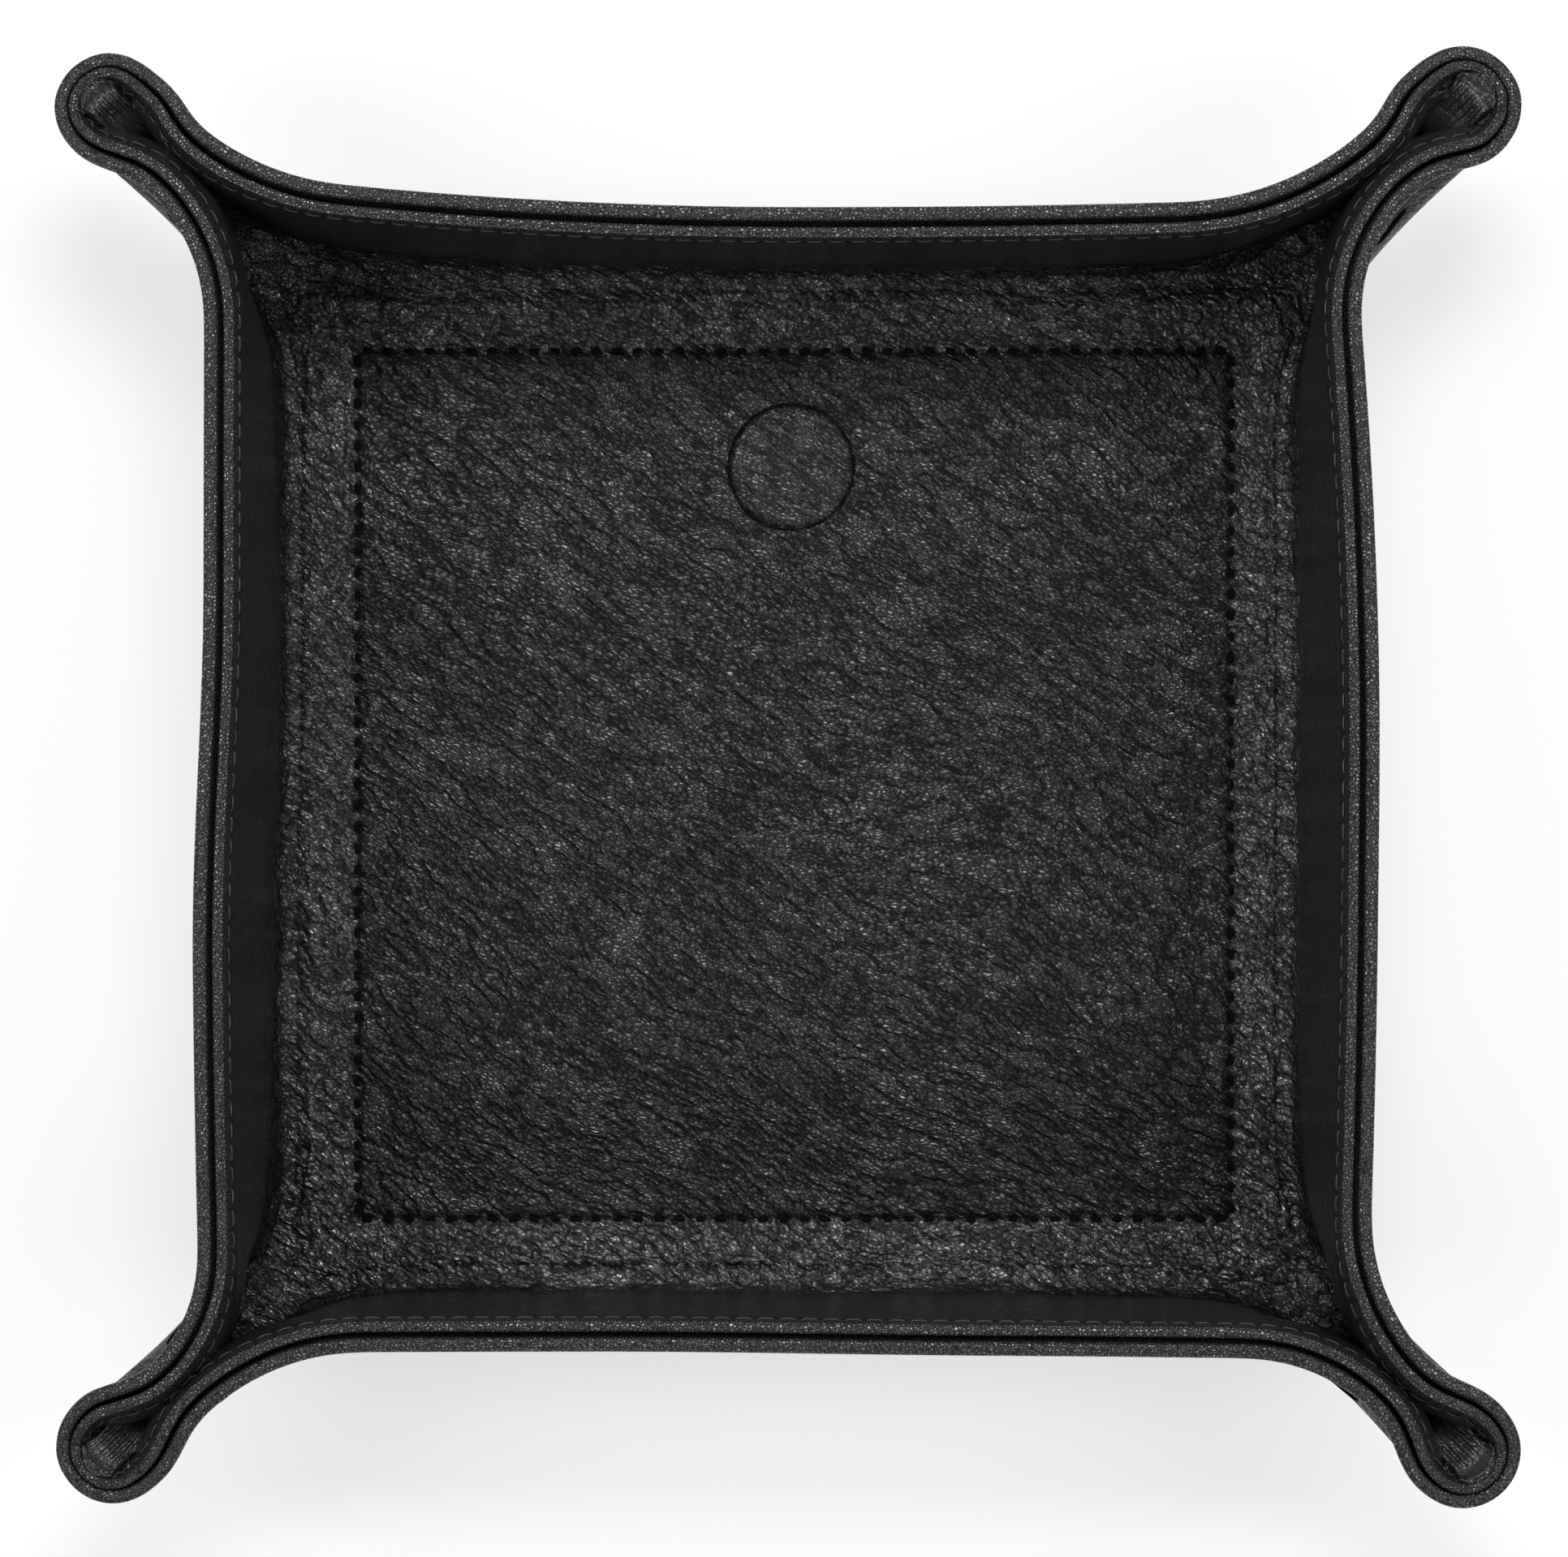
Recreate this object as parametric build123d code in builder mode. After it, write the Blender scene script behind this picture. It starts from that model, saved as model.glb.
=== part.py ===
from build123d import *
from math import radians, sin
import os

# Valet tray: one square sheet of leather, lined, boarded and folded up, with its four corners pinched
# into open loops. Millimetres, +Z up, the origin under the middle of the floor, +Y to the back.

# Leather and board
cover_thickness = 0.9       # outer leather, one layer
cover_hem_gain = 0.9        # extra thickness where the outer leather is turned in at the rim
lining_thickness = 0.8      # inner leather, one layer
lining_hem_gain = 0.6       # extra thickness of the lining's turned edge
board_thickness = 1.2       # stiffener between the leathers
glue_line = 0.05            # glue on each face of a board

# Outside of the cover, below its hem
foot_half_width = 67.8      # where the flat floor ends, along X
foot_half_depth = 67.4      # the same along Y
side_wall_lean = 12.2       # the rim of the left and right walls stands out this far past the floor
end_wall_lean = 10.2        # the same for the front and back walls
rim_half_width = foot_half_width + side_wall_lean
rim_half_depth = foot_half_depth + end_wall_lean
rim_height = 36.0
bow_length = 60.0           # half the length over which the bow of a wall is measured
side_wall_bow = 1.0         # left and right walls bulge out by this much
end_wall_bow = -1.0         # front and back walls are drawn in by this much

# Pinched corners, which the walls run out into as open loops
loop_reach_across = 12.1    # from the rim of the side wall out to the centre of the loop
loop_reach_along = 13.8     # the same from the rim of the end wall
loop_radius = 7.0
side_neck_radius = 24.9     # from the left and right walls into the loop
end_neck_radius = 33.2      # from the front and back walls into the loop
foot_corner_inset = 7.5     # centre of the rounded floor corner, in from both edges of the floor
ear_dip = 7.5               # drop of the rim at the tip of the loop
dip_start = 24.0            # distance from the loop's centre at which the rim starts to drop
loop_centre = Vector(rim_half_width + loop_reach_across, rim_half_depth + loop_reach_along)
foot_corner = Vector(foot_half_width - foot_corner_inset, foot_half_depth - foot_corner_inset)
ear_direction = (loop_centre - foot_corner).normalized()

# Levels of the wall from the floor to the straight band below the rim, as shares of the sizes above
height_shares = (0, 0.07, 0.20, 0.38, 0.58, 0.78)
wall_shares = (0, 0.36, 0.57, 0.72, 0.86, 1)
ear_shares = (0, 0.17, 0.35, 0.55, 0.77, 1)
radius_shares = (1.25, 1.12, 0.94, 0.85, 0.88, 1)
neck_shares = (1.8, 1.6, 1.3, 1.1, 1, 1)
bow_shares = (0.1, 0.4, 0.6, 0.7, 0.85, 1)
hem_shares = (0, 0, 0, 0, 0.3, 1)
across_shares = (0.4, 0.65, 0.90, 0.98, 1, 1)      # of a thickness, across the tray
upward_shares = (1, 0.76, 0.35, 0.15, 0.06, 0)     # of a thickness, upward
overrun = 3.0               # how far tools and inner forms run past what they cut

# Floor and wall boards
floor_board_inset = 1.5     # the floor board ends this far inside the stitched square
board_corner_cut = 3.0
wall_board_foot = 9.5       # height of a wall board's lower edge
wall_board_recess = 3.5     # a wall board ends this far below the rim
wall_board_end_gap = 19.0   # a wall board ends this far short of the rim's corner

# Stitched square on the floor, and the pressed disc near its back edge
seam_inset = 5.3            # the stitches run this far inside the edge of the flat floor
seam_half_width = foot_half_width - seam_inset
seam_half_depth = foot_half_depth - seam_inset
seam_groove_width = 1.2
seam_groove_depth = 0.3
disc_diameter = 17.8
disc_depth = 0.25
disc_back_distance = 17.8   # from the back seam to the centre of the disc

# Thread tacks that hold each corner pinched, hidden below the rim
tack_level = 4              # level of the wall at which the tacks go through
tack_width = 1.0            # a few turns of thread side by side, through a punched slit
tack_height = 1.4
tack_slit_clearance = 0.1
tack_bar_height = 4.0
tack_bar_thickness = 0.8
tack_bar_clearance = 0.4    # between the tack's end bars and the leather
tack_setback = 4.5          # from the centre of the loop at that level, towards the tray

levels = range(len(height_shares))
floor_top = cover_thickness + board_thickness + lining_thickness
band_foot = rim_height * height_shares[-1]


def between(start, end, share):
    return start + (end - start) * share


def ear_centre(level):
    """Centre of the loop at that level, which grows out of the rounded floor corner."""
    return foot_corner + (loop_centre - foot_corner) * ear_shares[level]


def neck(level, side):
    """The neck arc that touches the wall and the loop, on side -1 by the right wall or 1 by the back wall.

    Returns the centres of the wall arc and of the neck arc, the wall's signed radius and the neck's radius.
    """
    if side < 0:
        half_size = between(foot_half_width, rim_half_width, wall_shares[level])
        bow = side_wall_bow * bow_shares[level]
        neck_radius = side_neck_radius * neck_shares[level]
        axis = Vector(1, 0)
    else:
        half_size = between(foot_half_depth, rim_half_depth, wall_shares[level])
        bow = end_wall_bow * bow_shares[level]
        neck_radius = end_neck_radius * neck_shares[level]
        axis = Vector(0, 1)
    wall_radius = (bow_length**2 + bow**2) / (2 * bow)
    bulge = 1 if bow > 0 else -1
    wall_centre = axis * (half_size - wall_radius)
    to_wall = abs(wall_radius + neck_radius)
    to_loop = loop_radius * radius_shares[level] + neck_radius
    span = ear_centre(level) - wall_centre
    reach = (to_wall**2 - to_loop**2 + span.length**2) / (2 * span.length)
    rise = (to_wall**2 - reach**2) ** 0.5
    outward = span.normalized()
    neck_centre = wall_centre + outward * reach + outward.rotate(Axis.Z, side * bulge * 90) * rise
    return wall_centre, neck_centre, wall_radius, neck_radius


def corner_points(level, inset):
    """Points of the back right corner, from the right wall round the loop to the back wall."""
    centre = ear_centre(level)
    halves = []
    for side in (-1, 1):
        wall_centre, neck_centre, wall_radius, neck_radius = neck(level, side)
        bulge = 1 if wall_radius > 0 else -1
        on_wall = wall_centre + (neck_centre - wall_centre).normalized() * (abs(wall_radius) - inset * bulge)
        on_loop = neck_centre + (centre - neck_centre).normalized() * (neck_radius + inset)
        to_middle = ((on_wall - neck_centre).normalized() + (on_loop - neck_centre).normalized()).normalized()
        halves.append([on_wall, neck_centre + to_middle * (neck_radius + inset), on_loop])
    tip = centre + ear_direction * (loop_radius * radius_shares[level] - inset)
    return halves[0] + [tip] + halves[1][::-1]


def tray_outline(level, inset):
    """The closed outline of one level, set in by that much, drawn counterclockwise."""
    corner = corner_points(level, inset)
    half_width = between(foot_half_width, rim_half_width, wall_shares[level]) - inset
    half_depth = between(foot_half_depth, rim_half_depth, wall_shares[level]) - inset
    middles = (Vector(0, half_depth), Vector(-half_width, 0), Vector(0, -half_depth), Vector(half_width, 0))
    corners = []
    for across, along in ((1, 1), (-1, 1), (-1, -1), (1, -1)):
        points = [Vector(across * point.X, along * point.Y) for point in corner]
        corners.append(points if across == along else points[::-1])
    for turn, points in enumerate(corners):
        ThreePointArc(*points[0:3])
        ThreePointArc(*points[2:5])
        ThreePointArc(*points[4:7])
        ThreePointArc(points[6], middles[turn], corners[(turn + 1) % len(corners)][0])


def wall_form(depth, hem_gain):
    """Solid inside one face of the wall: depth is from the cover's outside, hem_gain is added at the rim."""
    with BuildPart() as form:
        for level in levels:
            inset = (depth + hem_gain * hem_shares[level]) * across_shares[level]
            height = rim_height * height_shares[level] + depth * upward_shares[level]
            with BuildSketch(Plane.XY.offset(height)):
                with BuildLine():
                    tray_outline(level, inset)
                make_face()
        loft(ruled=True)
        with BuildSketch(Plane.XY.offset(band_foot)):
            with BuildLine():
                tray_outline(levels[-1], depth + hem_gain)
            make_face()
        extrude(amount=rim_height - band_foot + overrun)
    return form.part


# Everything above the rim, which is level along the walls and drops towards the tip of each loop
tip_reach = loop_radius + cover_hem_gain
ear_plane = Plane(origin=loop_centre, x_dir=ear_direction, z_dir=ear_direction.rotate(Axis.Z, -90))
with BuildPart() as above_rim:
    with BuildSketch(Plane.XY.offset(rim_height)):
        Rectangle(2 * (loop_centre.X + tip_reach + overrun), 2 * (loop_centre.Y + tip_reach + overrun))
    extrude(amount=2 * overrun)
    with BuildSketch(ear_plane):
        with BuildLine():
            drop = TangentArc((-dip_start, rim_height), (tip_reach, rim_height - ear_dip), tangent=(1, 0))
            Polyline(
                drop @ 1,
                (tip_reach + overrun, rim_height - ear_dip),
                (tip_reach + overrun, rim_height + overrun),
                (-dip_start, rim_height + overrun),
                drop @ 0,
            )
        make_face()
    extrude(amount=dip_start, both=True)
    mirror(about=Plane.YZ)
    mirror(about=Plane.XZ)

# The hole through both walls of a pinched corner, and the thread that fills it
tack_point = ear_centre(tack_level) - ear_direction * tack_setback
tack_plane = Plane(
    origin=tack_point + Vector(0, 0, rim_height * height_shares[tack_level]),
    x_dir=ear_direction,
    z_dir=ear_direction.rotate(Axis.Z, -90),
)
tack_ends = []
for side in (-1, 1):
    neck_centre, neck_radius = neck(tack_level, side)[1::2]
    to_neck = neck_centre - tack_point
    half_width = abs(to_neck.dot(tack_plane.z_dir)) - (neck_radius**2 - to_neck.dot(ear_direction) ** 2) ** 0.5
    tack_ends.append(half_width + cover_hem_gain * hem_shares[tack_level] + tack_bar_clearance)
with BuildPart() as tack_holes:
    for side, reach in zip((1, -1), tack_ends):
        with BuildSketch(tack_plane):
            Rectangle(tack_width + 2 * tack_slit_clearance, tack_height + 2 * tack_slit_clearance)
        extrude(amount=side * reach)
    mirror(about=Plane.YZ)
    mirror(about=Plane.XZ)

with BuildPart() as corner_tack:
    for side, reach in zip((1, -1), tack_ends):
        with BuildSketch(tack_plane):
            Rectangle(tack_width, tack_height)
        extrude(amount=side * reach)
        with BuildSketch(tack_plane.offset(side * reach)):
            Rectangle(tack_width, tack_bar_height)
        extrude(amount=side * tack_bar_thickness)

# Outer leather: the outside of the walls, the loops and the underside, with its edge turned in at the rim
with BuildPart() as outer_cover:
    add(wall_form(0, -cover_hem_gain))
    add(wall_form(cover_thickness, 0), mode=Mode.SUBTRACT)
    add(above_rim.part, mode=Mode.SUBTRACT)
    add(tack_holes.part, mode=Mode.SUBTRACT)

# Inner leather: one lining over the floor and up the walls, pressed in along the floor seam and at the disc
with BuildPart() as lining:
    add(wall_form(cover_thickness + board_thickness, 0))
    add(wall_form(floor_top, lining_hem_gain), mode=Mode.SUBTRACT)
    add(above_rim.part, mode=Mode.SUBTRACT)
    add(tack_holes.part, mode=Mode.SUBTRACT)
    with BuildSketch(Plane.XY.offset(floor_top)):
        Rectangle(2 * seam_half_width + seam_groove_width, 2 * seam_half_depth + seam_groove_width)
        Rectangle(
            2 * seam_half_width - seam_groove_width,
            2 * seam_half_depth - seam_groove_width,
            mode=Mode.SUBTRACT,
        )
    extrude(amount=-seam_groove_depth, mode=Mode.SUBTRACT)
    with BuildSketch(Plane.XY.offset(floor_top)):
        with Locations((0, seam_half_depth - disc_back_distance)):
            Circle(disc_diameter / 2)
    extrude(amount=-disc_depth, mode=Mode.SUBTRACT)

# Stiffener inside the stitched square of the floor
with BuildPart() as floor_board:
    with BuildSketch(Plane.XY.offset(cover_thickness + glue_line)):
        corners = Rectangle(
            2 * (seam_half_width - floor_board_inset), 2 * (seam_half_depth - floor_board_inset)
        ).vertices()
        chamfer(corners, board_corner_cut)
    extrude(amount=board_thickness - 2 * glue_line)

# Stiffeners inside the four walls, bowed with them, ending short of the loops and below the rim
with BuildPart() as board_layer:
    add(wall_form(cover_thickness + glue_line, 0))
    add(wall_form(cover_thickness + board_thickness - glue_line, 0), mode=Mode.SUBTRACT)

wall_board_height = rim_height - wall_board_recess - wall_board_foot
wall_board_middle = wall_board_foot + wall_board_height / 2
wall_sides = (
    ("wall_board_right", Vector(0, 1), Vector(1, 0), rim_half_width, rim_half_depth),
    ("wall_board_back", Vector(-1, 0), Vector(0, 1), rim_half_depth, rim_half_width),
    ("wall_board_left", Vector(0, -1), Vector(-1, 0), rim_half_width, rim_half_depth),
    ("wall_board_front", Vector(1, 0), Vector(0, -1), rim_half_depth, rim_half_width),
)
wall_boards = []
for name, along, outward, reach, half_length in wall_sides:
    with BuildPart() as wall_board:
        with BuildSketch(Plane(origin=(0, 0, wall_board_middle), x_dir=along, z_dir=outward)):
            corners = Rectangle(2 * (half_length - wall_board_end_gap), wall_board_height).vertices()
            chamfer(corners, board_corner_cut)
        extrude(amount=reach + overrun)
        add(board_layer.part, mode=Mode.INTERSECT)
    wall_boards.append((name, wall_board.part))

corner_tacks = []
for name, mirrors in (
    ("corner_tack_back_right", ()),
    ("corner_tack_back_left", (Plane.YZ,)),
    ("corner_tack_front_left", (Plane.YZ, Plane.XZ)),
    ("corner_tack_front_right", (Plane.XZ,)),
):
    placed = corner_tack.part
    for plane in mirrors:
        placed = placed.mirror(plane)
    corner_tacks.append((name, placed))

os.makedirs("parts", exist_ok=True)
pieces = [("outer_cover", outer_cover.part), ("lining", lining.part), ("floor_board", floor_board.part)]
for name, piece in pieces + wall_boards + corner_tacks:
    piece.label = name
    export_step(piece, "parts/" + name + ".step")
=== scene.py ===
from collections import namedtuple

import bmesh
import bpy
import numpy as np
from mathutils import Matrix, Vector, noise


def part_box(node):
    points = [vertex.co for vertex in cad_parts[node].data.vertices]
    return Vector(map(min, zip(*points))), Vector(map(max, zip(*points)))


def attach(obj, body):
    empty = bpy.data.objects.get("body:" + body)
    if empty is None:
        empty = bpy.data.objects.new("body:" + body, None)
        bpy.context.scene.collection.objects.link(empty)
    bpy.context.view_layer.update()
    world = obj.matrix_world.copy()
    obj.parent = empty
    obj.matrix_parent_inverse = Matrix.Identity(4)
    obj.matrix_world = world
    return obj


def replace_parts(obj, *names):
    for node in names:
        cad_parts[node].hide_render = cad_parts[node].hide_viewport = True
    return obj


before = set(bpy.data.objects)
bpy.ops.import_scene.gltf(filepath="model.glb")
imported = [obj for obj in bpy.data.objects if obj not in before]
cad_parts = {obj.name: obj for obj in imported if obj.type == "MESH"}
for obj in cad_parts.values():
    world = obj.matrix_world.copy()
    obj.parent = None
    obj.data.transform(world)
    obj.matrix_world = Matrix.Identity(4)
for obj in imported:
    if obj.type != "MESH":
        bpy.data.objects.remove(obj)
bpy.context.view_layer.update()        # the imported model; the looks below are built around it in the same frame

# Valet tray: the finished leathers, their rolled edges, stitches, boards and tacks.
# Lengths are in millimetres and angles in radians, and MM turns a mesh into metres.
MM = 0.001

# Leather and board, as in the construction
cover_thickness = 0.9
cover_hem_gain = 0.9
lining_thickness = 0.8
lining_hem_gain = 0.6
board_thickness = 1.2
glue_line = 0.05
floor_top = cover_thickness + board_thickness + lining_thickness

# Outside of the cover, below its hem
foot_half_width = 67.8
foot_half_depth = 67.4
rim_height = 36.0
bow_length = 60.0
foot_corner_inset = 7.5
ear_dip = 7.5
dip_start = 24.0
foot_corner = np.array((foot_half_width, foot_half_depth)) - foot_corner_inset

# The rim in the photograph, a little different at each corner. The wall sizes are distances from the
# middle of the tray, and a bow is how far a wall bulges out in its middle.
corner_sizes = "across along side_wall side_bow end_wall end_bow loop_x loop_y radius side_neck end_neck"
Corner = namedtuple("Corner", corner_sizes)
corners = {
    "back_right": Corner(1, 1, 80.2, 2.4, 77.2, -0.9, 93.4, 93.2, 7.4, 22.5, 39.5),
    "back_left": Corner(-1, 1, 79.4, 0.1, 77.3, -2.9, 94.2, 92.8, 6.8, 24.0, 36.0),
    "front_left": Corner(-1, -1, 81.0, 0.7, 77.8, -0.1, 93.7, 92.8, 7.1, 20.5, 31.5),
    "front_right": Corner(1, -1, 80.0, 1.0, 78.3, -0.4, 93.5, 93.4, 7.2, 28.0, 25.5),
}
wall_blend = 26.0           # either side of a wall's middle, where one corner's sizes turn into the next

# Levels of the wall from the floor to the rim, as shares of the sizes above
shares = {
    "height": (0, 0.0134, 0.052, 0.111, 0.176, 0.38, 0.51, 0.65, 0.78, 1),
    "side": (0, 0.221, 0.415, 0.559, 0.631, 0.74, 0.795, 0.855, 0.905, 1),
    "end": (0, 0.279, 0.525, 0.707, 0.798, 0.85, 0.89, 0.93, 0.96, 1),
    "ear": (0, 0.09, 0.19, 0.28, 0.37, 0.55, 0.68, 0.85, 1, 1),
    "radius": (1.25, 1.22, 1.18, 1.1, 1.02, 0.8, 0.78, 0.82, 0.9, 1),
    "neck": (1.8, 1.75, 1.6, 1.45, 1.3, 0.85, 0.8, 0.8, 0.9, 1),
    "bow": (0.05, 0.1, 0.2, 0.35, 0.5, 0.7, 0.8, 0.9, 1, 1),
}
wall_lean = 11.2            # mean lean of the walls, which spaces the levels

# The walls turn softly into the necks and the necks into the loops
outline_step = 0.3
easing_width = 3.102
easing_steps = 30           # on each side of a point
easing_start = 10.0         # from a wall's middle, and from there over as much again
easing_loss = 0.4           # radius that a loop loses by it
loop_fill = 0.17            # how much wider a loop is behind its middle than a circle
fill_place = 6.0            # behind the middle of the loop
fill_reach = 4.5

# Mesh: columns run round the tray, and a quarter of them lies between one wall's middle and the next
quarter = 192
columns = 4 * quarter
half_quarter = quarter // 2
level_count = 260
tip_crowding = 0.6          # how much closer the columns stand at the tips than on the walls
crowding_rise = 1.6         # it is full from 1 / 1.6 of the height
samples = np.linspace(0, 1, 500)[:, None]


def smooth(places, values, at, flat_start=False):
    """The values between the places on a cubic that doesn't overshoot."""
    step = np.diff(places)
    slope = np.diff(values) / step
    tangent = np.concatenate(([0.0 if flat_start else slope[0]], np.zeros(len(step) - 1), [slope[-1]]))
    for i in range(1, len(step)):
        if slope[i - 1] * slope[i] > 0:
            before, after = 2 * step[i] + step[i - 1], step[i] + 2 * step[i - 1]
            tangent[i] = (before + after) / (before / slope[i - 1] + after / slope[i])
    i = np.clip(np.searchsorted(places, at, side="right") - 1, 0, len(step) - 1)
    t = (at - places[i]) / step[i]
    return (
        values[i] * (2 * t**3 - 3 * t**2 + 1)
        + tangent[i] * step[i] * (t**3 - 2 * t**2 + t)
        + values[i + 1] * (3 * t**2 - 2 * t**3)
        + tangent[i + 1] * step[i] * (t**3 - t**2)
    )


def ease(t):
    """From 0 to 1, smooth at both ends."""
    t = np.clip(t, 0, 1)
    return t * t * (3 - 2 * t)


def hill(at, start, rise, end, fall):
    """From 0 to 1 over the rise after the start, and back to 0 over the fall after the end."""
    return ease((at - start) / rise) * (1 - ease((at - end) / fall))


def bell(distance, width):
    return np.exp(-((distance / width) ** 2))


def ridge(at, height, place, width):
    """A soft ridge, or a groove where its height is negative."""
    return height * bell(at - place, width)


def unit(v):
    return v / np.linalg.norm(v, axis=-1, keepdims=True)


def between(start, end, share):
    return start + (end - start) * share


def lengths_along(points):
    """Length of a line of points up to each of them."""
    return np.concatenate(([0], np.cumsum(np.linalg.norm(np.diff(points, axis=0), axis=1))))


def points_at(at, places, points, period=None):
    """The line's points at those places along it."""
    return np.stack([np.interp(at, places, values, period=period) for values in points.T], 1)


# Reference surface: the outside of the cover below its hem, as a grid of levels by columns

places = lengths_along(np.array((shares["side"], shares["height"])).T * (wall_lean, rim_height))
levels = np.linspace(0, places[-1], level_count)
share_at = {name: smooth(places, np.array(row), levels, name == "height") for name, row in shares.items()}


def angle_of(v):
    return np.arctan2(v[1], v[0])


def arc(centre, radius, start, turn):
    """Points of a round arc from that angle through that turn."""
    angle = start + turn * samples
    return centre + radius * np.hstack((np.cos(angle), np.sin(angle)))


def bow_radius(bow):
    """Radius of a wall that bulges out by that much, negative where it is drawn in."""
    return (bow_length**2 + bow**2) / (2 * bow)


def wall_distance(half, bow, along):
    """Distance of a bowed wall from the middle of the tray at those places along it."""
    radius = bow_radius(bow)
    return half - radius + np.sign(radius) * np.sqrt(radius**2 - along**2)


def half_outline(halves, bows, neck_radius, loop, loop_radius, tip):
    """From the middle of a wall round the neck to the tip of the loop, for a wall on the right.

    Halves and bows are the wall's sizes at this corner and at its other corner."""
    wall_radius = bow_radius(bows[0])
    bulge = np.sign(wall_radius)
    centre = np.array((halves[0] - wall_radius, 0.0))
    to_wall = abs(wall_radius + neck_radius)
    to_loop = loop_radius + neck_radius
    span = loop - centre
    distance = np.linalg.norm(span)
    reach = (to_wall**2 - to_loop**2 + distance**2) / (2 * distance)
    rise = np.sqrt(to_wall**2 - reach**2)
    outward = span / distance
    neck = centre + outward * reach + bulge * np.array((outward[1], -outward[0])) * rise
    touch = centre + unit(neck - centre) * abs(wall_radius)
    along = touch[1] * samples
    own_wall, other_wall = (wall_distance(half, bow, along) for half, bow in zip(halves, bows))
    wall = np.hstack((between(other_wall, own_wall, ease((along + wall_blend) / (2 * wall_blend))), along))
    start = angle_of(touch - neck)
    neck_arc = arc(neck, neck_radius, start, (angle_of(loop - neck) - start + np.pi) % (2 * np.pi) - np.pi)
    start = angle_of(neck - loop)
    loop_arc = arc(loop, loop_radius, start, (angle_of(tip) - start) % (2 * np.pi))
    return np.vstack((wall, neck_arc[1:], loop_arc[1:]))


def rounded(points, tip):
    """The line with its changes of curve eased, and the place of its tip."""
    length = lengths_along(points)
    at = np.append(np.arange(0, length[-1], outline_step), length[-1])
    line = points_at(at, length, points)
    weights = bell(np.arange(-easing_steps, easing_steps + 1) * outline_step, easing_width)
    weights /= weights.sum()
    eased = np.stack([np.convolve(values, weights, "same") for values in line.T], 1)
    share = ease((np.minimum(at, at[-1] - at) - easing_start) / easing_start)[:, None]
    return between(line, eased, share), int(np.argmin(np.abs(at - length[tip])))


def spread(points, count, crowding):
    """That many steps along a line of points, standing closer towards its end."""
    length = lengths_along(points)
    t = np.linspace(0, 1, count + 1)
    return points_at((t + crowding * np.sin(np.pi * t) / np.pi) * length[-1], length, points)


def loop_and_tip(corner):
    """Middle of a corner's loop at the rim and the direction of its tip, turned to the back right."""
    loop = np.array((corner.loop_x, corner.loop_y))
    return loop, unit(loop - foot_corner)


def outline(level):
    """The ring of columns at one level, counterclockwise from the middle of the right wall."""
    share = {name: values[level] for name, values in share_at.items()}
    crowding = tip_crowding * ease(share["height"] * crowding_rise)
    ring = []
    for c in corners.values():
        beside = next(o for o in corners.values() if o.across == c.across and o.along != c.along)
        behind = next(o for o in corners.values() if o.along == c.along and o.across != c.across)
        rim_loop, tip = loop_and_tip(c)
        loop = between(foot_corner, rim_loop, share["ear"])
        radius = c.radius * share["radius"] + easing_loss
        side = half_outline(
            [between(foot_half_width, o.side_wall, share["side"]) for o in (c, beside)],
            [o.side_bow * share["bow"] for o in (c, beside)],
            c.side_neck * share["neck"], loop, radius, tip,
        )
        end = half_outline(
            [between(foot_half_depth, o.end_wall, share["end"]) for o in (c, behind)],
            [o.end_bow * share["bow"] for o in (c, behind)],
            c.end_neck * share["neck"], loop[::-1], radius, tip[::-1],
        )[:, ::-1]
        line, tip_place = rounded(np.vstack((side, end[::-1][1:])), len(side) - 1)
        sideways = np.array((-tip[1], tip[0]))
        behind_middle = -((line - loop) @ tip)
        wider = loop_fill * share["ear"] ** 2 * bell(behind_middle - fill_place, fill_reach)
        line = line + (((line - loop) @ sideways) * wider)[:, None] * sideways
        halves = (line[:tip_place + 1], line[tip_place:][::-1])
        side, end = (spread(half * (c.across, c.along), half_quarter, crowding) for half in halves)
        first, second = (side, end) if c.across == c.along else (end, side)
        ring += [first[:-1], second[::-1][:-1]]
    return np.vstack(ring)


level_rings = np.stack([outline(k) for k in range(level_count)])
level_heights = rim_height * share_at["height"]
reference = np.concatenate(
    (level_rings, np.broadcast_to(level_heights[:, None, None], (level_count, columns, 1))), 2,
)

# Distance of each column from the tip of its loop, along the rim, and the same with the side as its sign
rim_ring = level_rings[-1]
rim_along = lengths_along(np.vstack((rim_ring, rim_ring[:1])))
tip_distance = np.abs(rim_along[:-1, None] - rim_along[half_quarter::quarter]).min(1)
column_tip = tip_distance * np.sign(np.arange(columns) % quarter - half_quarter)

# Height of the rim at each column: level along the walls, dropping towards the tips
rim_z = np.full(columns, rim_height)
for c in corners.values():
    loop, tip = loop_and_tip(c)
    ring = rim_ring * (c.across, c.along)
    own = (ring > 0).all(1)
    reach = (ring - loop) @ tip + dip_start
    drop = ear_dip * (np.clip(reach, 0, None) / (dip_start + c.radius + cover_hem_gain)) ** 2
    rim_z[own] -= drop[own]

tangent_round = np.roll(reference, -1, 1) - np.roll(reference, 1, 1)
tangent_up = np.gradient(reference, axis=0)
inward = unit(np.cross(tangent_up, tangent_round))
inward[0] = (0, 0, 1)
tangent_up = unit(tangent_up)
steps_up = np.linalg.norm(np.diff(reference, axis=0), axis=2)
column_length = np.vstack((np.zeros(columns), np.cumsum(steps_up, 0)))


def length_up_to(heights):
    """Length up each column from the foot to those heights."""
    return np.array([np.interp(z, level_heights, column_length[:, j]) for j, z in enumerate(heights)])


rim_length = length_up_to(rim_z)


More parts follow.
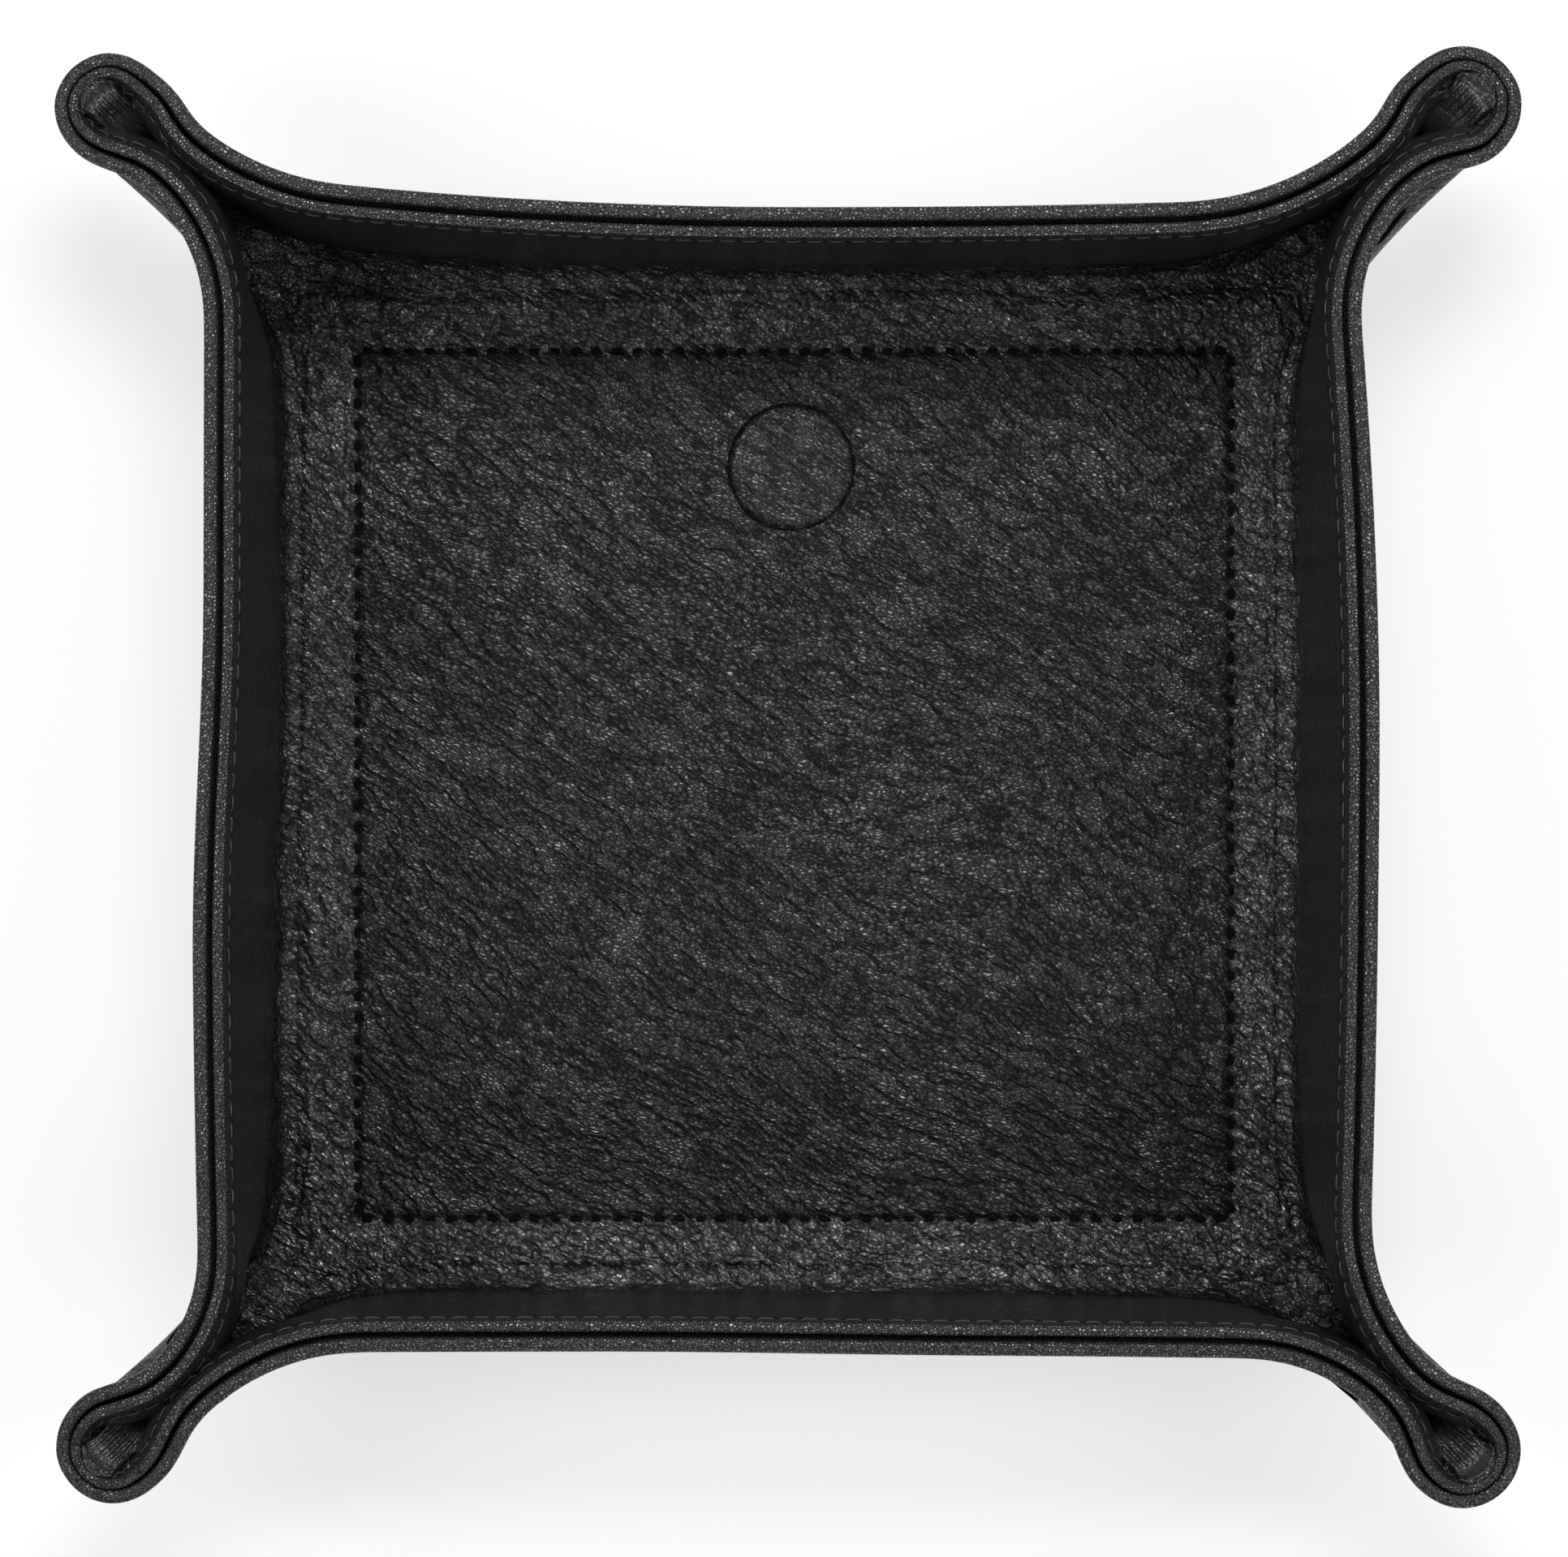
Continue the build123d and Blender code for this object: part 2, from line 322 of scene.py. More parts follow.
def on_wall(lengths):
    """Point, inward normal and upward tangent at those lengths up each column from the foot."""
    found = []
    for grid in (reference, inward, tangent_up):
        found.append(np.array([
            [np.interp(lengths[j], column_length[:, j], grid[:, j, i]) for i in range(3)]
            for j in range(columns)
        ]))
    return found[0], unit(found[1]), unit(found[2])


# Floor: the stitched square, the border outside it and the pressed disc. A wave is a height, a width
# and a seed, creases are a depth, a length, a width and a seed, and q is the distance outside the square.
seam_centre = np.array((0.8, -1.1))
seam_half = np.array((62.4, 62.0))
seam_pitch = 3.0
seam_depth = 0.5
seam_spread = 0.5
seam_gap_share = 0.12       # of the seam's depth, between two stitches
seam_lip = (0.16, -1.5, 1.1)
shoulder_rise = 0.4         # of the leather just outside the seam
shoulder_span = (0.2, 2.2, 3.4, 6)
border_rise = 1.5           # how far the lining has come up off the board where it turns into the walls
border_bend = 1.2
floor_waves = ((0.12, 17, 3), (0.09, 6, 11))
border_wave = (0.25, 9, 21)
crease_sharpness = 3.2
corner_creases = (0.34, 22, 3.1, 5)
border_creases = (0.22, 13, 3.4, 9)
gloss_span = (-0.5, 1.5, 10, 3)
disc_centre = np.array((0.35, 44.3))
disc_radius = 8.9
disc_depth = 0.5
disc_dome = 0.35
disc_edge = 0.6
disc_line = (-0.3, -0.2, 0.25)
disc_ring = (-0.08, -1.958, 0.3)


def seam_ring(offset):
    """The columns on a square that far outside the stitched square of the floor."""
    t = np.linspace(0, 1, half_quarter + 1)[:-1]
    ones = np.ones_like(t)
    corner = np.vstack((np.stack((ones, t), 1), np.stack((1 - t, ones), 1)))
    turns = [corner, corner[:, ::-1] * (-1, 1), -corner, corner[:, ::-1] * (1, -1)]
    return np.vstack(turns) * (seam_half + offset) + seam_centre


def wave(points, height, width, seed):
    """Smooth noise up to about that height, with features about that wide."""
    shift = Vector((seed, 2 * seed, 0))
    return height * np.array([noise.noise(Vector(p) / width + shift) for p in points.tolist()])


def creases(points, direction, depth, length, width, seed):
    """Ridged noise drawn out along a direction, from 0 to that depth."""
    across = np.stack((-direction[:, 1], direction[:, 0]), 1)
    a = (points[:, :2] * direction).sum(1) / length
    b = (points[:, :2] * across).sum(1) / width
    rough = np.array([noise.noise((x, y, z)) for x, y, z in zip(a, b + seed, points[:, 2] / length)])
    return depth * np.clip(1 - crease_sharpness * np.abs(rough), 0, 1)


def seam_distance(points):
    """Distance outside the stitched square, negative inside it."""
    return (np.abs(points[:, :2] - seam_centre) - seam_half).max(1)


def seam_stitch(points):
    """Whether the seam beside each point runs to the back, and how near it is to the middle of a stitch."""
    offset = points[:, :2] - seam_centre
    outside = np.abs(offset) - seam_half
    upright = outside[:, 0] > outside[:, 1]
    length = 2 * np.where(upright, seam_half[1], seam_half[0])
    along = np.where(upright, offset[:, 1], offset[:, 0])
    phase = (along + length / 2) * np.round(length / seam_pitch) / length - 0.5
    return upright, np.cos(2 * np.pi * phase) * 0.5 + 0.5


def disc_distance(points):
    """Distance outside the rim of the disc, negative inside it."""
    return np.linalg.norm(points[:, :2] - disc_centre, axis=1) - disc_radius


def disc_relief(points):
    """The pressed disc: a domed recess with a fine line round it and one plain ring inside."""
    from_rim = disc_distance(points)
    recess = -disc_depth * ease(0.5 - from_rim / disc_edge)
    dome = disc_dome * np.clip(1 - (1 + from_rim / disc_radius) ** 2, 0, 1)
    return recess + dome + ridge(from_rim, *disc_line) + ridge(from_rim, *disc_ring)


def floor_relief(points):
    """Unevenness of the leather on the floor, with the seam, the creases and the disc."""
    q = seam_distance(points)
    upright, stitch = seam_stitch(points)
    relief = sum(wave(points, *sizes) for sizes in floor_waves)
    relief -= seam_depth * bell(q, seam_spread) * between(seam_gap_share, 1, ease((stitch - 0.2) / 0.5))
    relief += ridge(q, *seam_lip) + shoulder_rise * hill(q, *shoulder_span)
    relief += border_rise * np.clip((q - 0.6) / 6, 0, 1) ** border_bend * (1 - ease((q - 7) / 6))
    relief *= 1 + wave(points, *border_wave) * ease(q)
    right, back = (np.abs(points[:, :2] - seam_centre) - seam_half).T
    diagonal = ease(1 - np.abs(right - back) / 26) * ease((q + 16) / 10)
    relief -= diagonal * creases(points, unit(np.sign(points[:, :2]) + 0.02), *corner_creases)
    border = ease((q - 0.8) / 1.5) * (1 - ease((points[:, 2] - 10) / 5))
    flow = unit(np.where(upright[:, None], (0.35, 1.0), (1.0, 0.3)))
    relief -= border * creases(points, flow, *border_creases)
    return relief * ease(disc_distance(points) / 3) + disc_relief(points)


def seam_shade(points):
    """Painted shade in the holes of the seam."""
    return 0.9 * bell(seam_distance(points), 0.4) * ease((seam_stitch(points)[1] - 0.4) / 0.35)


def border_gloss(points):
    """How glossy and creased the leather is between the seam and the walls, and how much highlight is painted
    into its colour there, most at the front and somewhat on the right, where the lamps' reflections fall.
    """
    right, back = ((points[:, :2] - seam_centre) / seam_half).T
    level = 0.6 + 0.4 * ease(-2 * back - 1) + 0.15 * ease(2 * right - 1)
    return level * hill(seam_distance(points), *gloss_span)


# Rolled rim, its groove and its stitches. A drop is measured down the wall from the top of the roll.
hem_length = 8.0
stitch_drop = 3.4
roll_squareness = 0.7
roll_crease = (0.28, 1.15, 0.2)     # the line pressed along each roll: share of its radius, angle, width
roll_row_count = 17
groove_drops = (1.4, 2.0, 2.6, 3.2, 4.0, 4.8, 5.6, 6.4)
groove_close = 0.2          # share of the gap between the leathers that each roll takes up
seam_squeeze = 0.47         # share of it that each leather gives up at the rim seam
loop_gap_close = 1.05       # how far the lining comes towards the cover at the tip of a loop
tip_slope = 2.5             # how far the lining slopes inward below its roll, at the tips and at the necks
neck_slope = 1.1
neck_distance = 24.0        # from the tip of a loop along the rim
slope_span = (0.9, 6, 11, 13)
pleat_depth = 0.26          # of the pleats that the lining is gathered in inside the loops
pleat_pitch = 2.0
pleat_span = (1.6, 1.6, 7, 6)
pucker_width = 0.75         # of the leather pulled in by the stitches, which puffs up below them
puff_drop = stitch_drop + 1.7
cover_pucker = (0.28, stitch_drop, 0.7)
cover_puff = (-0.08, stitch_drop + 1.9, 1.0)


def hem_share(drop):
    """How much of the hem's extra thickness is there, at that drop."""
    return 1 - ease((drop - hem_length + 2.5) / 4)


def tip_share(reach):
    return bell(tip_distance, reach)


def closing():
    """How far the lining has come towards the cover at each column."""
    return loop_gap_close * tip_share(16)


def groove_gap():
    """Width of the groove between the two rolls at each column."""
    return board_thickness - closing()


def lining_depth(drop):
    """Depth of the lining's inside face below the cover's outside, at that drop."""
    in_loop = tip_share(13)
    slope = tip_slope * tip_share(15) + neck_slope * bell(tip_distance - neck_distance, 11)
    pleats = np.sin(2 * np.pi * column_tip / pleat_pitch + 1.3 * np.sin(column_tip / 2.3))
    return (
        floor_top
        + lining_hem_gain * hem_share(drop)
        + slope * hill(drop, *slope_span)
        - (0.15 + 0.45 * in_loop) * bell(drop - stitch_drop, pucker_width)
        + (0.08 + 0.3 * in_loop) * bell(drop - puff_drop, 1.0)
        - closing() * (1 - ease((drop - 6) / 12))
        + pleat_depth * pleats * ease((15 - tip_distance) / 6) * hill(drop, *pleat_span)
    )


def cover_depth(drop):
    """Depth of the cover's outside face, negative where the hem stands out."""
    return ridge(drop, *cover_pucker) + ridge(drop, *cover_puff) - cover_hem_gain * hem_share(drop)


def roll_rows(outer, inner, start_inside):
    """Rows over the rounded top of a roll between two depths, from one face to the other."""
    centre = (outer + inner) / 2
    radius = (inner - outer) / 2
    point, normal, up = on_wall(rim_length - radius)
    centre_line = point + normal * np.reshape(centre, (-1, 1))
    uneven = 1 + 0.05 * np.sin(column_tip * 0.9) * np.sin(column_tip * 0.23 + 1)
    rows = []
    for angle in np.linspace(0, np.pi, roll_row_count):
        side = np.cos(angle) * (1 if start_inside else -1)
        side = np.sign(side) * abs(side) ** roll_squareness
        rise = np.sin(angle) ** roll_squareness * (1 - ridge(angle, *roll_crease))
        turned = normal * side + up * rise * uneven[:, None]
        rows.append(centre_line + turned * np.reshape(radius, (-1, 1)))
    return rows


def groove_rows(face, towards):
    """Rows down one side of the groove, which comes towards the other side at the rim seam."""
    rows = []
    for drop in groove_drops:
        share = between(groove_close, seam_squeeze, ease((drop - 1.3) / 1.7))
        share *= 1 - ease((drop - 4.6) / 1.8)
        point, normal, _ = on_wall(rim_length - drop)
        rows.append(point + normal * (face + towards * share * groove_gap())[:, None])
    return rows


class Piece:
    """A mesh that grows ring by ring, with values at each vertex that the leather's material reads."""

    def __init__(self):
        self.points, self.faces = [], []
        self.looks = {"grain": [], "fine": [], "shade": [], "gloss": []}

    def add(self, points, grain=1.0, fine=0.0, shade=0.0, gloss=0.0):
        first = sum(len(p) for p in self.points)
        self.points.append(np.asarray(points, float))
        for store, value in zip(self.looks.values(), (grain, fine, shade, gloss)):
            store.append(np.broadcast_to(np.asarray(value, float), len(points)))
        return np.arange(first, first + len(points))

    def strip(self, a, b):
        """Faces between two rings, of which the second may have half as many vertices."""
        if len(a) == len(b):
            self.faces += zip(a, np.roll(a, -1), np.roll(b, -1), b)
        else:
            even, odd, after = a[::2], a[1::2], np.roll(a[::2], -1)
            ahead = np.roll(b, -1)
            self.faces += zip(even, odd, b)
            self.faces += zip(odd, ahead, b)
            self.faces += zip(odd, after, ahead)

    def grow(self, last, rows, **looks):
        """Adds rings one after another to the last one, and returns the new last one."""
        for points in rows:
            ring = self.add(points, **looks)
            self.strip(last, ring)
            last = ring
        return last

    def build(self, name, material):
        mesh = bpy.data.meshes.new(name)
        points = np.vstack(self.points) * MM
        mesh.from_pydata(points.tolist(), [], [tuple(int(i) for i in f) for f in self.faces])
        for attribute, values in self.looks.items():
            layer = mesh.attributes.new(attribute, "FLOAT", "POINT")
            layer.data.foreach_set("value", np.concatenate(values).astype(np.float32))
        bm = bmesh.new()
        bm.from_mesh(mesh)
        bmesh.ops.recalc_face_normals(bm, faces=bm.faces)
        bm.to_mesh(mesh)
        bm.free()
        mesh.shade_smooth()
        mesh.materials.append(material)
        piece = bpy.data.objects.new(name, mesh)
        bpy.context.scene.collection.objects.link(piece)
        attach(piece, "root")
        return piece


def core_grid(piece, ring, inset, height, grain):
    """Fills a ring on a square that far inside the seam with a grid at that height."""
    count = len(ring) // 4
    middle = count // 2
    along = np.arange(count + 1)
    at = np.zeros((count + 1, count + 1), int)
    at[:, 0] = ring[(5 * middle + along) % len(ring)]
    at[-1] = ring[(7 * middle + along) % len(ring)]
    at[:, -1] = ring[(3 * middle - along) % len(ring)]
    at[0] = ring[(5 * middle - along) % len(ring)]
    steps = np.linspace(-1, 1, count + 1)[1:-1, None] * (seam_half - inset) + seam_centre
    x, y = np.meshgrid(*steps.T, indexing="ij")
    inner = np.stack((x.ravel(), y.ravel(), np.zeros(x.size)), 1)
    inner[:, 2] = height(inner)
    at[1:-1, 1:-1] = piece.add(inner, grain).reshape(count - 1, count - 1)
    piece.faces += zip(*(i.ravel() for i in (at[:-1, :-1], at[1:, :-1], at[1:, 1:], at[:-1, 1:])))


# Rows of the leathers. A pair of steps is for the wall and for its part below the roll.
seam_rows = (-3.2, -2.4, -1.7, -1.2, -0.8, -0.5, -0.25, 0, 0.25, 0.5, 0.8, 1.2, 1.7, 2.3)
core_inset = 4.0
core_grid_inset = 4.9
lining_foot_rows = 5
lining_steps = (0.75, 0.42)
cover_foot_rows = 3
cover_steps = (0.95, 0.5)
hidden_drop = 7.6
hidden_rows = ((0.62, 2), (0.42, 4), (0.27, 8), (0.22, 8), (0.18, 8), (0.14, 8), (0.10, 8), (0.05, 8))
hidden_inset = 2.0
under_groove_depth = 0.42

# Unevenness of the walls: a wave, the height where it starts, and its rise from there
lining_wave = ((0.30, 21, 31), 4, 6)
cover_wave = ((0.22, 24, 47), 3, 5)

# Where the leather is smooth, and the painted shade deep inside the loops
smooth_share = 0.72         # of the grain, lost on the lining's walls
loop_shade = 0.5
cover_grain = 0.8
groove_grain = 0.6
hidden_grain = 0.5


def flat(points, z=0.0):
    return np.hstack((points, np.full((len(points), 1), z)))


def foot_rows(count):
    """Rings on the floor plane between the last ring beside the seam and the foot of the walls."""
    start, end = seam_ring(seam_rows[-1]), level_rings[0]
    return [flat(between(start, end, t)) for t in np.linspace(0, 1, count + 2)[1:]]


def wall_lengths(step, fine_step):
    """Lengths up the columns for the rows of the wall, closer together near the rim."""
    fine = np.arange(hem_length, 1.2, -fine_step)
    lower = np.linspace(0, 1, int(round((rim_length.mean() - hem_length) / step)) + 1)[1:-1]
    return [(rim_length - hem_length) * t for t in lower] + [rim_length - drop for drop in fine]


def wall_wave(point, drop, sizes, start, rise):
    """Soft unevenness of a wall, which dies out towards the floor and the rim."""
    return wave(point, *sizes) * ease((point[:, 2] - start) / rise) * ease((drop - 3) / 6)


def fine_share(drop):
    """How much of the fine grain of the turned edge is there, at that drop. The material paints a sheen into the
    colour by it as well.
    """
    return ease((4.2 - drop) / 2)


def hidden_side(piece, ring, depth):
    """Closes a leather on the side that nothing shows: coarse rings down the wall and a coarse floor."""
    point, normal, _ = on_wall(rim_length - hidden_drop)
    last = piece.grow(ring, [point + normal * depth], grain=hidden_grain)
    for share, step in hidden_rows:
        point, normal, _ = on_wall(rim_length * share)
        last = piece.grow(last, [(point + normal * depth)[::step]], grain=hidden_grain)
    floor_rings = (level_rings[0], seam_ring(-hidden_inset))
    last = piece.grow(last, [flat(ring, depth)[::step] for ring in floor_rings], grain=hidden_grain)
    core_grid(piece, last, hidden_inset, lambda p: np.full(len(p), depth), hidden_grain)


def make_lining(material):
    piece = Piece()
    up = np.array((0, 0, 1.0))
    flat_rows = [flat(seam_ring(q)) for q in seam_rows] + foot_rows(lining_foot_rows)
    rows = [(ring, up, np.full(columns, rim_height)) for ring in flat_rows]
    for lengths in wall_lengths(*lining_steps):
        point, normal, _ = on_wall(lengths)
        rows.append((point, normal, rim_length - lengths))
    core = flat(seam_ring(-core_inset))
    core[:, 2] = floor_top + floor_relief(core)
    first = last = piece.add(core)
    for point, normal, drop in rows:
        height = point[:, 2]
        on_floor = 1 - ease((height - 6) / 6)
        relief = floor_relief(point + up * floor_top * on_floor[:, None]) * on_floor
        depth = lining_depth(drop) + relief + wall_wave(point, drop, *lining_wave)
        smoothness = ease((height - 3 - 8 * tip_share(32)) / 5) * ease((drop - 2) / 3)
        # Painted shade deep inside the loops, and in the seam's holes on the floor
        in_loop = loop_shade * tip_share(17) * ease((drop - 7) / 5)
        last = piece.grow(
            last,
            [point + normal * depth[:, None]],
            grain=1 - smooth_share * smoothness,
            fine=fine_share(drop),
            shade=between(in_loop, seam_shade(point), on_floor),
            gloss=border_gloss(point) * on_floor,
        )
    face = cover_thickness + board_thickness
    outer = face - closing()
    inner = floor_top + lining_hem_gain - closing()
    last = piece.grow(last, roll_rows(outer - groove_close * groove_gap(), inner, True), fine=1.0)
    last = piece.grow(last, groove_rows(outer, -1), grain=groove_grain, fine=1.0)
    hidden_side(piece, last, face)
    core = flat(seam_ring(-core_grid_inset))[::2]
    core[:, 2] = floor_top + floor_relief(core)
    core = piece.grow(first, [core])
    core_grid(piece, core, core_grid_inset, lambda p: floor_top + floor_relief(p), 1.0)
    return finer_disc(piece.build("lining_leather", material))


def finer_disc(made):
    """Divides the mesh round the pressed disc, sets the new vertices on its relief and paints shade into the fine
    line round its rim.
    """
    lowest, highest = floor_top - 0.7, floor_top + 1.5      # of the floor's upper face
    bm = bmesh.new()
    bm.from_mesh(made.data)
    near = set()
    for face in bm.faces:
        middle = np.array(face.calc_center_median())[None] / MM
        if middle[0, 2] > lowest and disc_distance(middle) < 2.2:
            near.update(face.edges)
    bmesh.ops.subdivide_edges(bm, edges=sorted(near, key=lambda e: e.index), cuts=4, use_grid_fill=True)
    grain = bm.verts.layers.float["grain"]
    shade = bm.verts.layers.float["shade"]
    for vertex in bm.verts:
        spot = np.array(vertex.co)[None] / MM
        from_rim = disc_distance(spot)[0]
        if lowest < spot[0, 2] < highest and from_rim < 1.6:
            vertex.co.z = (floor_top + floor_relief(spot)[0]) * MM
            vertex[grain] = 1 - 0.12 * ease(-from_rim / disc_edge)
            # Painted shade in the fine line round the disc
            vertex[shade] = ridge(from_rim, 0.9, -0.1, 0.28)
    bm.to_mesh(made.data)
    bm.free()
    made.data.shade_smooth()
    return made


def make_cover(material):
    piece = Piece()
    first = piece.add(flat(seam_ring(-core_inset)))
    rows = [flat(seam_ring(q)) for q in seam_rows]
    for ring in rows:
        ring[:, 2] = under_groove_depth * bell(seam_distance(ring), seam_spread)
    last = piece.grow(first, rows + foot_rows(cover_foot_rows))
    for lengths in wall_lengths(*cover_steps):
        point, normal, _ = on_wall(lengths)
        drop = rim_length - lengths
        depth = cover_depth(drop) + wall_wave(point, drop, *cover_wave)
        last = piece.grow(last, [point + normal * depth[:, None]], grain=cover_grain, fine=fine_share(drop))
    outer = np.full(columns, -cover_hem_gain)
    inner = cover_thickness + groove_close * groove_gap()
    last = piece.grow(last, roll_rows(outer, inner, False), fine=1.0)
    last = piece.grow(last, groove_rows(cover_thickness, 1), grain=groove_grain, fine=1.0)
    hidden_side(piece, last, cover_thickness)
    core = piece.grow(first, [flat(seam_ring(-core_grid_inset))[::2]])
    core_grid(piece, core, core_grid_inset, lambda p: np.zeros(len(p)), 1.0)
    return piece.build("cover_leather", material)


# Materials

class Nodes:
    """The node tree of a new material, with short calls for what it is made of."""

    def __init__(self, name):
        self.material = bpy.data.materials.new(name)
        self.material.use_nodes = True
        self.tree = self.material.node_tree
        self.shader = self.tree.nodes.get("Principled BSDF")

    def put(self, value, socket):
        """Links a node's output to the socket, or sets a plain value on it."""
        if isinstance(value, bpy.types.NodeSocket):
            self.tree.links.new(value, socket)
        else:
            socket.default_value = value

    def look(self, name, value):
        """Puts a value on a socket of the shader."""
        self.put(value, self.shader.inputs[name])

    def node(self, kind, inputs=None, **settings):
        made = self.tree.nodes.new(kind)
        for key, value in settings.items():
            setattr(made, key, value)
        for key, value in (inputs or {}).items():
            self.put(value, made.inputs[key])
        return made

    def maths(self, operation, *values):
        return self.node("ShaderNodeMath", dict(enumerate(values)), operation=operation).outputs[0]

    def times(self, product, *others):
        for other in others:
            product = self.maths("MULTIPLY", product, other)
        return product

    def plus(self, total, *others):
        for other in others:
            total = self.maths("ADD", total, other)
        return total

    def less(self, value, taken):
        return self.maths("SUBTRACT", value, taken)

    def vectors(self, operation, first, second):
        return self.node("ShaderNodeVectorMath", {0: first, 1: second}, operation=operation).outputs[0]

    def mapped(self, value, low, high, to_low=0.0, to_high=1.0, kind="SMOOTHSTEP"):
        inputs = {"Value": value, "From Min": low, "From Max": high, "To Min": to_low, "To Max": to_high}
        return self.node("ShaderNodeMapRange", inputs, interpolation_type=kind).outputs["Result"]

    def place(self, x=1 / MM, y=1 / MM, z=1 / MM):
        """Place on the object, in millimetres unless other factors are given."""
        return self.vectors("MULTIPLY", self.node("ShaderNodeTexCoord").outputs["Object"], (x, y, z))

    def noise(self, vector, scale, detail, roughness=0.5, output="Fac"):
        inputs = {"Vector": vector, "Scale": scale, "Detail": detail, "Roughness": roughness}
        return self.node("ShaderNodeTexNoise", inputs).outputs[output]

    def drifting(self, vector, source, scale, reach):
        """The vector with a slow shift added, up to about reach millimetres."""
        shift = self.vectors("ADD", self.noise(source, scale, 1.0, 0.4, "Color"), (-0.5, -0.5, -0.5))
        return self.vectors("ADD", vector, self.vectors("MULTIPLY", shift, (2 * reach, 2 * reach, reach)))

    def drawn_out(self, vector, angle, length, width):
        """Coordinates in which round cells come out long in one direction and narrow across it."""
        inputs = {"Vector": vector, "Rotation": (0, 0, angle), "Scale": (length, width, 1)}
        return self.node("ShaderNodeMapping", inputs, vector_type="TEXTURE").outputs[0]

    def cell_edges(self, vector, scale):
        inputs = {"Vector": vector, "Scale": scale, "Randomness": 1.0}
        return self.node("ShaderNodeTexVoronoi", inputs, feature="DISTANCE_TO_EDGE").outputs["Distance"]

    def bump(self, height, strength, distance):
        inputs = {"Height": height, "Strength": strength, "Distance": distance}
        self.look("Normal", self.node("ShaderNodeBump", inputs).outputs[0])

    def colours(self, factor, dark, light):
        """Base colour on a ramp between two colours."""
        ramp = self.node("ShaderNodeValToRGB", {"Fac": factor})
        for element, colour in zip(ramp.color_ramp.elements, (dark, light)):
            element.color = (*colour, 1)
        self.look("Base Color", ramp.outputs["Color"])


# Grain of the leather, in millimetres. A form is the angle, length and width of a drawn-out cell.
pebble_form = (-0.5, 1.4, 0.8)
pebble_scale = 1.45
pebble_rise = 0.1
net_form = (-0.6, 1.6, 0.9)
net_scale = 0.6
net_reach = 0.4
net_rise = 0.3
fold_form = (-0.6, 2.4, 0.9)
fold_scale = 0.34
fold_reach = 0.11
fold_rise = 0.22
tiny_scale = 2.0
tiny_rise = 0.08
dust_scale = 5.0
dust_rise = 0.012
patch_scale = 0.12


class LeatherNodes(Nodes):
    """Black grained leather: fine pebbles in rows that turn slowly, a net of creases and soft folds."""

    def __init__(self, name):
        super().__init__(name)
        in_mm = self.place()
        bent = self.drifting(self.drifting(in_mm, in_mm, 0.014, 10), in_mm, 0.3, 0.45)
        crooked = self.drifting(bent, in_mm, 0.75, 0.8)
        self.pebble = self.cell_edges(self.drawn_out(bent, *pebble_form), pebble_scale)
        self.net = self.cell_edges(self.drawn_out(crooked, *net_form), net_scale)
        self.tiny = self.cell_edges(in_mm, tiny_scale)
        folds = self.less(self.noise(self.drawn_out(bent, *fold_form), fold_scale, 2.0), 0.5)
        self.fold = self.mapped(self.maths("ABSOLUTE", folds), 0.0, fold_reach)
        self.dust = self.noise(in_mm, dust_scale, 3.0, 0.6)
        self.patches = self.noise(bent, patch_scale, 3.0, 0.6)
        self.grain, self.fine, self.shade, self.gloss = (
            self.node("ShaderNodeAttribute", attribute_name=name).outputs["Fac"]
            for name in ("grain", "fine", "shade", "gloss")
        )
        self.net_share = self.plus(self.times(self.gloss, 0.6), 0.25)

    def height(self):
        """Height of the grain: coarse where the leather is loose, fine where it is turned at the rim."""
        slopes = self.mapped(self.pebble, 0.0, 0.5, kind="LINEAR")
        strength = self.mapped(self.patches, 0.35, 0.65, 0.55, 1.2)
        pebbles = self.times(slopes, strength, pebble_rise)
        creases = self.times(self.mapped(self.net, 0.0, net_reach), self.net_share, net_rise)
        coarse = self.plus(pebbles, self.times(self.fold, fold_rise), creases)
        coarse = self.times(coarse, self.grain, self.less(1.0, self.fine))
        small = self.times(self.mapped(self.tiny, 0.0, 0.3), tiny_rise)
        small = self.times(small, self.maths("MAXIMUM", self.fine, 0.2))
        return self.plus(coarse, small, self.times(self.dust, dust_rise))

    def tops(self):
        """From 0 in the hollows of the grain to 1 on its tops: painted shade in the hollows of the pebbles, folds
        and creases, in the seam's holes, the disc's line and deep in the loops.
        """
        pebbles = self.mapped(self.pebble, 0.0, 0.3, 0.25, 1.0)
        folds = self.mapped(self.fold, 0.0, 1.0, 0.5, 1.0)
        lines = self.times(self.less(1.0, self.mapped(self.net, 0.0, 0.14)), self.net_share)
        patches = self.mapped(self.patches, 0.3, 0.7, 0.75, 1.05)
        tops = self.times(pebbles, folds, self.less(1.0, lines), patches, self.grain)
        tops = self.plus(tops, self.times(self.less(1.0, self.grain), 0.9))
        fine_tops = self.times(self.fine, self.mapped(self.tiny, 0.02, 0.26, 0.2, 1.0))
        tops = self.plus(self.times(tops, self.less(1.0, self.fine)), fine_tops)
        return self.times(tops, self.less(1.0, self.shade))


